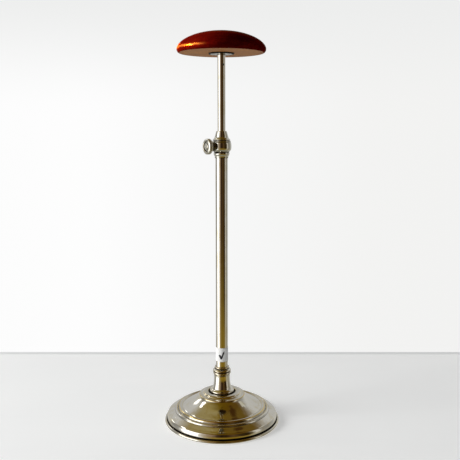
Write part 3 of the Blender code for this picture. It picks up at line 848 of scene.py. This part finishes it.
knob_profile = flow([(0.0, 22.92), (1.2, 22.9), (2.1, 22.72), (2.8, 22.3), (3.2, 21.85)], 4)
knob_profile += flow([(3.4, 21.62), (4.2, 21.5), (5.0, 21.55), (5.7, 21.75), (6.1, 22.05)], 4)
knob_profile += flow([(6.25, 22.3), (6.6, 22.95), (7.05, 23.32), (7.6, 23.4), (8.3, 23.2), (9.0, 22.85), (9.6, 22.42)], 4)
knob_profile += rounded([(9.8, 22.2), (10.0, 21.9, 0.2), (10.0, 20.9, 0.2), (9.0, 20.5, 0.15), (9.0, 19.9, 0.15),
                         (10.0, 19.5, 0.2), (10.0, 18.4, 0.3), (9.3, 17.75, 0.2), (8.0, 17.7), (3.0, 17.7, 0.1), (3.0, 20.4), (0.0, 20.4)])
# Painted shade: near-black on the back facing the barrel and in the groove between the milled flanges, dark in the
# recess round the centre.
place(lathe("thumbscrew_milled_head", knob_profile, M_COLLAR, 256, False, radial(SCREW_AZIMUTH, SCREW_Z), knob_reshape,
            grime_and_shade=lambda r, h: 1.0 if h < 18.3 or (r < 9.8 and 19.6 < h < 20.8) else (0.7 if 5.8 < r < 6.5 and 21 < h < 22.6 else 0.0)),
      "thumbscrew", "nickel_plate", "thumbscrew_head")


# ================================================================ rod
rod_profile = [(3.9, 483.5), (4.9, 483.5)] + [(5.0, 483.4 - 293.2 * k / 60) for k in range(61)]
rod_profile += [(4.9, 190.0), (3.9, 190.0), (3.9, 300.0), (3.9, 400.0)]
rod = lathe("drawn_inner_rod", rod_profile, M_ROD, 64, True)
hole = lathe("hole", [(0.0, 7.0), (1.45, 7.0), (1.45, 3.0), (0.0, 3.0)], M_ROD, 24, False,
             radial(SET_SCREW_AZIMUTH, SET_SCREW_Z))
join_shape(rod, hole, "DIFFERENCE")
place(rod, "head", "nickel_plate", "rod")

grub = lathe("grub", rounded([(0.0, 5.28), (1.15, 5.28, 0.15), (1.15, 3.9), (0.0, 3.9)], False), M_STEM, 24, False,
             radial(SET_SCREW_AZIMUTH, SET_SCREW_Z))
grub.name = grub.data.name = "set_screw_slotted"
slot_cut = block("slot_cut", (0.32, 3.0, 0.8), radial(SET_SCREW_AZIMUTH, SET_SCREW_Z) @ Matrix.Rotation(math.radians(25), 4, "Z") @ at(0, 0, 5.4))
join_shape(grub, slot_cut, "DIFFERENCE")
place(grub, "head", "steel", "cap_set_screw")


# ================================================================ cap
PLATE_TOP, PLATE_LOW = CAP_Z0 - 0.3, CAP_Z0 - 1.6
plate_profile = rounded([(0.0, PLATE_TOP), (16.2, PLATE_TOP, 0.12), (16.2, PLATE_LOW + 0.25, 0.2), (15.6, PLATE_LOW, 0.3)])
plate_profile += rounded([(12.0, PLATE_LOW), (8.0, PLATE_LOW), (3.6, PLATE_LOW, 0.1), (3.6, 462.0, 0.3), (0.0, 462.0)])
# Painted shade: near-black at the flange's rim under the cap and round the rod.
plate = lathe("cap_flange", plate_profile, M_FLANGE, 96, False, grime_and_shade=lambda r, h: 1.0 if r > 15.0 or r < 6.0 else 0.0)
for number, azimuth in enumerate((90.0, 210.0, 330.0), start=1):
    a = math.radians(azimuth)
    x, y = 11.4 * math.cos(a), 11.4 * math.sin(a)
    seat = lathe("seat", [(0.0, PLATE_TOP + 1), (1.8, PLATE_TOP + 1), (1.8, PLATE_TOP - 0.1), (3.15, PLATE_LOW),
                          (3.4, PLATE_LOW - 0.6), (0.0, PLATE_LOW - 0.6)], M_FLANGE, 32, False, at(x, y, 0))
    join_shape(plate, seat, "DIFFERENCE")
    screw = lathe("screw", [(0.0, 497.0), (0.7, 495.8), (1.4, 494.0), (1.4, PLATE_TOP)] + rounded(
        [(1.45, PLATE_TOP - 0.05), (2.7, PLATE_LOW + 0.12, 0.1), (2.55, PLATE_LOW + 0.02, 0.1), (1.4, PLATE_LOW),
         (0.0, PLATE_LOW)], False), M_STEEL, 32, False, at(x, y, 0))
    screw.name = screw.data.name = f"wood_screw_slotted_{number}"
    cut = block("cut", (0.6, 8.0, 1.1), at(x, y, PLATE_LOW) @ Matrix.Rotation(math.radians(25 + 47 * number), 4, "Z"))
    join_shape(screw, cut, "DIFFERENCE")
    place(screw, "head", "steel", f"cap_screw_{number}")
place(plate, "head", "nickel_plate", "cap_plate")


def dome_profile():
    dome = []
    for i in range(49):
        s = math.pi / 2 * i / 48
        dome.append((CAP_R * math.sin(s), CAP_RIM_Z + CAP_RISE * max(math.cos(s), 0.0) ** 1.13))
    dome[0] = (0.0, CAP_RIM_Z + CAP_RISE)
    dome += flow([(56.4, CAP_RIM_Z - 0.3), (56.35, 489.2), (56.1, 488.1), (55.6, 487.1), (54.9, 486.2), (54.1, 485.65)], 4)
    dome += rounded([(53.9, 485.5), (53.3, CAP_Z0, 0.15), (52.6, CAP_Z0)])
    dome += [(r, CAP_Z0) for r in (50.0, 46.0, 42.0, 38.0, 34.0, 30.0, 26.0, 22.0, 18.0, 12.0, 6.0, 0.0)]
    return dome


def dome_reshape(p, r, h, a):
    """Hand-finished: never quite round, with the odd shallow knock on the shoulder."""
    if r < 2 or h < CAP_Z0 + 0.05:
        return p
    n = noise.noise(Vector((math.cos(a) * r / 30, math.sin(a) * r / 30, 11.0)))
    m = noise.noise(Vector((math.cos(a) * r / 8, math.sin(a) * r / 8, 2.0)))
    s = 1 - 0.0014 * (n + 1) * min(1.0, r / 20)
    return Vector((p.x * s, p.y * s, p.z + (0.05 * m - 0.02) * min(1.0, (h - CAP_Z0) / 3) - 0.05 * min(1.0, (h - CAP_Z0) / 3)))


# Painted highlight: the shoulder band near h 491.2 goes into the wear layer, and the lacquer turns it amber on the left
# side.
cap = place(lathe("turned_wooden_cap", dome_profile(), [M_WOOD, M_BARE], 180, False, None, dome_reshape,
                  lambda p, q: 1 if max(p[1], q[1]) < CAP_Z0 + 0.02 else 0,
                  wear_and_highlight=lambda r, h: 0.80 * max(0.0, 1 - abs(h - 491.2) / 3.6) if r > 45 else 0.0),
            "head", "mahogany", "cap_dome")
cap.visible_glossy = False


# ================================================================ CAD pieces that stay, inside the stand
for names, finish in (
    (("base_plate", "tie_stud", "tie_washer", "tie_nut", "thumbscrew_shank", "rod_end_screw"), M_STEEL),
    (("base_weight",), M_IRON),
    (("collar_bush", "rod_guide"), M_FIBRE),
    (("clamp_pad",), M_BRASS),
):
    for node_name in names:
        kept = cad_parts[node_name]
        if not kept.material_slots:
            kept.data.materials.append(finish)
        for one in kept.material_slots:
            one.material = finish


# ================================================================ floor
def floor():
    made, t = material("pale_painted_boards")
    here = t.place()
    x, y, z = t.xyz(here)
    streak = t.noise(t.join(t.math("MULTIPLY", x, 0.06), y, 0.0), 60.0, 4.0, 0.6)
    patch = t.noise(here, 9.0, 3.0, 0.5)
    # Painted shadow: a grey strip along the floor's back edge for the shade line at the wall.
    back = t.remap(y, 0.2625, 0.2690, smooth=True)
    colour = t.mix(t.remap(streak, 0.35, 0.70, 0.0, 0.5), (0.80, 0.805, 0.80), (0.745, 0.750, 0.750))
    colour = t.mix(t.remap(patch, 0.4, 0.7, 0.0, 0.35), colour, (0.76, 0.765, 0.765))
    colour = t.mix(t.math("MULTIPLY", back, 0.55), colour, (0.50, 0.51, 0.51))
    shade = t.shader(colour, t.remap(streak, 0.3, 0.7, 0.55, 0.70), t.bump(streak, 0.0003), IOR=1.35, Specular_IOR_Level=0.1,
                     Emission_Strength=0.57)
    t.put(shade.inputs["Emission Color"], colour)
    clear = t.node("BsdfTransparent")
    either = t.node("MixShader")
    t.put(either.inputs[0], t.node("NewGeometry").outputs["Backfacing"])
    t.tree.links.new(shade.outputs[0], either.inputs[1])
    t.tree.links.new(clear.outputs[0], either.inputs[2])
    t.tree.links.new(either.outputs[0], [n for n in t.tree.nodes if n.type == "OUTPUT_MATERIAL"][0].inputs["Surface"])
    bm = bmesh.new()
    bmesh.ops.create_grid(bm, x_segments=8, y_segments=8, size=1.0)
    for v in bm.verts:
        v.co = Vector((v.co.x * 2.2, -1.0615 + v.co.y * 1.3385, -0.0003))
    mesh = bpy.data.meshes.new("floor")
    bm.to_mesh(mesh)
    bm.free()
    mesh.materials.append(made)
    obj = bpy.data.objects.new("floor", mesh)
    scene.collection.objects.link(obj)
    obj.visible_glossy = False


floor()


# ================================================================ light
def surroundings():
    """A soft daylight studio: pale wall behind, a tall window to the left, a dark room in front, a warm ceiling."""
    world = bpy.data.worlds.new("studio")
    scene.world = world
    t = Tree(world)
    way = t.node("TexCoord").outputs["Generated"]
    way = t.vec("NORMALIZE", way)
    x, y, z = t.xyz(way)
    turn = t.math("ARCTAN2", x, t.math("MULTIPLY", y, -1.0))      # 0 in front, negative to the left
    turn = t.remap(turn, -math.pi, math.pi)

    def stops(*pairs):
        return [((a + 180.0) / 360.0, c) for a, c in pairs]

    wall = (0.50, 0.50, 0.485)
    level = t.ramp(turn, stops(
        (-180, wall), (-132, (0.70, 0.70, 0.70)), (-122, (0.45, 0.45, 0.44)), (-112, (0.30, 0.30, 0.29)),
        (-97, (0.40, 0.40, 0.39)), (-89, (1.0, 1.0, 1.0)), (-48, (1.0, 0.99, 0.97)), (-42, (0.66, 0.60, 0.52)), (-34, (0.46, 0.38, 0.28)),
        (-20, (0.28, 0.19, 0.12)), (-9, (0.06, 0.034, 0.018)), (0, (0.022, 0.011, 0.004)), (12, (0.045, 0.022, 0.008)), (24, (0.11, 0.062, 0.022)), (38, (0.045, 0.025, 0.008)),
        (56, (0.030, 0.018, 0.004)), (66, (0.20, 0.16, 0.09)), (72, (0.74, 0.72, 0.67)), (80, (0.72, 0.70, 0.66)), (86, (0.34, 0.32, 0.28)),
        (104, (0.30, 0.29, 0.26)), (122, (0.44, 0.44, 0.42)), (137, (0.66, 0.66, 0.65)), (180, wall)))
    low = t.ramp(turn, stops(
        (-180, (0.56, 0.55, 0.52)), (-125, (0.50, 0.50, 0.47)), (-104, (0.34, 0.33, 0.29)), (-90, (0.85, 0.85, 0.84)), (-84, (1.0, 1.0, 1.0)),
        (-50, (1.0, 1.0, 0.98)), (-40, (0.60, 0.53, 0.36)), (-22, (0.34, 0.245, 0.055)), (0, (0.29, 0.185, 0.020)), (28, (0.27, 0.175, 0.018)),
        (58, (0.30, 0.215, 0.050)), (76, (0.50, 0.46, 0.33)), (100, (0.34, 0.32, 0.26)), (135, (0.52, 0.51, 0.46)), (180, (0.56, 0.55, 0.52))))
    high = t.ramp(turn, stops(
        (-180, (0.19, 0.118, 0.010)), (-152, (0.24, 0.16, 0.024)), (-125, (0.38, 0.31, 0.14)), (-100, (0.36, 0.28, 0.10)), (-70, (0.25, 0.18, 0.05)),
        (-35, (0.18, 0.110, 0.008)), (0, (0.14, 0.078, 0.004)), (60, (0.13, 0.070, 0.004)), (100, (0.12, 0.066, 0.010)), (125, (0.15, 0.092, 0.016)),
        (152, (0.16, 0.095, 0.012)), (180, (0.19, 0.118, 0.010))))
    colour = t.mix(t.remap(z, 0.55, 0.84, smooth=True), level, high)
    colour = t.mix(t.remap(z, -0.12, -0.38, smooth=True), colour, low)
    colour = t.mix(t.remap(z, -0.62, -0.86, smooth=True), colour, (0.30, 0.29, 0.22))
    # the window's glass is much brighter than anything it lights
    inside = t.math("MULTIPLY", t.remap(turn, (180 - 90) / 360.0, (180 - 86) / 360.0, smooth=True),
                    t.remap(turn, (180 - 46) / 360.0, (180 - 51) / 360.0, smooth=True))
    inside = t.math("MULTIPLY", inside, t.remap(z, 0.56, 0.47, smooth=True))
    inside = t.math("MULTIPLY", inside, t.remap(z, -0.55, -0.45, smooth=True))
    colour = t.mix(inside, colour, (2.3, 2.3, 2.27))
    across = t.math("SUBTRACT", t.math("MULTIPLY", turn, 360.0), 180.0)
    above = t.math("DEGREES", t.math("ARCSINE", z))
    for azimuth, elevation, width, height, tint in (
        (-133, 27, 8.0, 3.6, (2.6, 2.6, 2.6)), (-114, 45, 8.0, 3.6, (4.0, 4.0, 3.95)), (117, 43, 10.0, 4.5, (0.66, 0.66, 0.62)),
        (108, 72, 9.0, 6.0, (0.060, 0.026, 0.005)), (48, -11, 12.0, 5.5, (0.012, 0.003, 0.0)),
    ):
        dx = t.math("MULTIPLY", t.math("SUBTRACT", across, azimuth), math.cos(math.radians(elevation)) / width)
        dy = t.math("MULTIPLY", t.math("SUBTRACT", above, elevation), 1.0 / height)
        far = t.math("SQRT", t.math("ADD", t.math("MULTIPLY", dx, dx), t.math("MULTIPLY", dy, dy)))
        colour = t.mix(t.remap(far, 1.3, 0.7, smooth=True), colour, tint)
    colour = t.mix(t.remap(z, math.sin(math.radians(81)), math.sin(math.radians(85)), smooth=True), colour, (0.016, 0.008, 0.003))
    grey = t.node("RGBToBW")
    t.put(grey.inputs[0], colour)
    path = t.node("LightPath")
    side = t.ramp(turn, stops((-180, (0.35, 0.35, 0.35)), (-150, (1.0, 1.0, 1.0)), (-60, (1.0, 1.0, 1.0)), (-20, (0.75, 0.75, 0.75)),
                              (25, (0.16, 0.16, 0.16)), (140, (0.12, 0.12, 0.12)), (180, (0.35, 0.35, 0.35))))
    soft = t.math("MULTIPLY", grey.outputs[0], t.remap(z, 0.25, 0.62, 1.5, 0.16))
    soft = t.vec("MULTIPLY", t.join(soft, soft, soft), side)
    colour = t.mix(path.outputs["Is Diffuse Ray"], colour, soft)
    lit = t.node("Background")
    t.put(lit.inputs["Color"], colour)
    lit.inputs["Strength"].default_value = 1.0
    room = t.ramp(turn, stops((-180, (0.93, 0.932, 0.93)), (-168, (0.985, 0.985, 0.985)), (-140, (0.96, 0.962, 0.96)), (-90, (0.92, 0.922, 0.92)),
                              (0, (0.86, 0.862, 0.86)), (90, (0.87, 0.87, 0.865)), (150, (0.88, 0.88, 0.872)), (168, (0.895, 0.895, 0.885)),
                              (180, (0.93, 0.932, 0.93))))
    room = t.mix(t.remap(z, 0.02, 0.20, smooth=True), room, (0.845, 0.85, 0.845))
    seen = t.node("Background")
    t.put(seen.inputs["Color"], room)
    seen.inputs["Strength"].default_value = 1.0
    choose = t.node("MixShader")
    t.put(choose.inputs[0], path.outputs["Is Camera Ray"])
    t.tree.links.new(lit.outputs[0], choose.inputs[1])
    t.tree.links.new(seen.outputs[0], choose.inputs[2])
    out = t.node("OutputWorld")
    t.tree.links.new(choose.outputs[0], out.inputs["Surface"])


def area(name, location, aim, size, energy, colour=(1, 1, 1), only=None, without=None, along=None):
    light = bpy.data.lights.new(name, "AREA")
    light.energy, light.color = energy, colour
    if isinstance(size, tuple):
        light.shape, light.size, light.size_y = "RECTANGLE", size[0], size[1]
    else:
        light.shape, light.size = "DISK", size
    obj = bpy.data.objects.new(name, light)
    obj.location = location
    back = (Vector(location) - Vector(aim)).normalized()
    if along is None:
        obj.rotation_euler = back.to_track_quat("Z", "Y").to_euler()
    else:
        up = back.cross(Vector(along)).normalized()
        obj.rotation_euler = Matrix((up.cross(back), up, back)).transposed().to_euler()
    obj.visible_glossy = only is not None
    scene.collection.objects.link(obj)
    if only is not None:
        lit = bpy.data.collections.new(name + "_lights")
        lit.objects.link(only)
        obj.light_linking.receiver_collection = lit
    if without is not None:
        lit = bpy.data.collections.new(name + "_passes")
        lit.objects.link(without)
        lit.collection_objects[0].light_linking.link_state = "EXCLUDE"
        obj.light_linking.receiver_collection = lit


surroundings()
area("window_side", (-1.75, -0.55, 1.25), (0.0, 0.0, 0.10), 0.9, 22.0, without=cap)


def around(azimuth, elevation, far, middle=(0.0, 0.0, 0.495)):
    a, e = math.radians(azimuth), math.radians(elevation)
    return (middle[0] + far * math.sin(a) * math.cos(e), middle[1] - far * math.cos(a) * math.cos(e), middle[2] + far * math.sin(e))


area("cap_window", around(-90, 10, 1.2), (0.0, 0.0, 0.495), 0.40, 80.0, (1.0, 0.93, 0.9), cap)
area("cap_sash", around(-80, 22, 1.0), (-0.03, 0.0, 0.492), (0.95, 0.11), 5.0, (1.0, 1.0, 0.95), cap, along=(-0.17, 0.98, 0.0))
area("cap_edge", around(-152, 12, 1.0), (-0.05, 0.0, 0.492), 0.30, 6.0, (1.0, 1.0, 0.8), cap)




# ================================================================ camera
lens = bpy.data.cameras.new("camera")
lens.lens, lens.sensor_width = 52.748, 36.0
lens.clip_start, lens.clip_end = 0.01, 50.0
lens.dof.use_dof = False
camera = bpy.data.objects.new("camera", lens)
camera.location = (0.01086, -0.8716, 0.3916)
camera.rotation_euler = (math.radians(81.43), 0.0, 0.0)
scene.collection.objects.link(camera)
scene.camera = camera

bpy.context.view_layer.update()
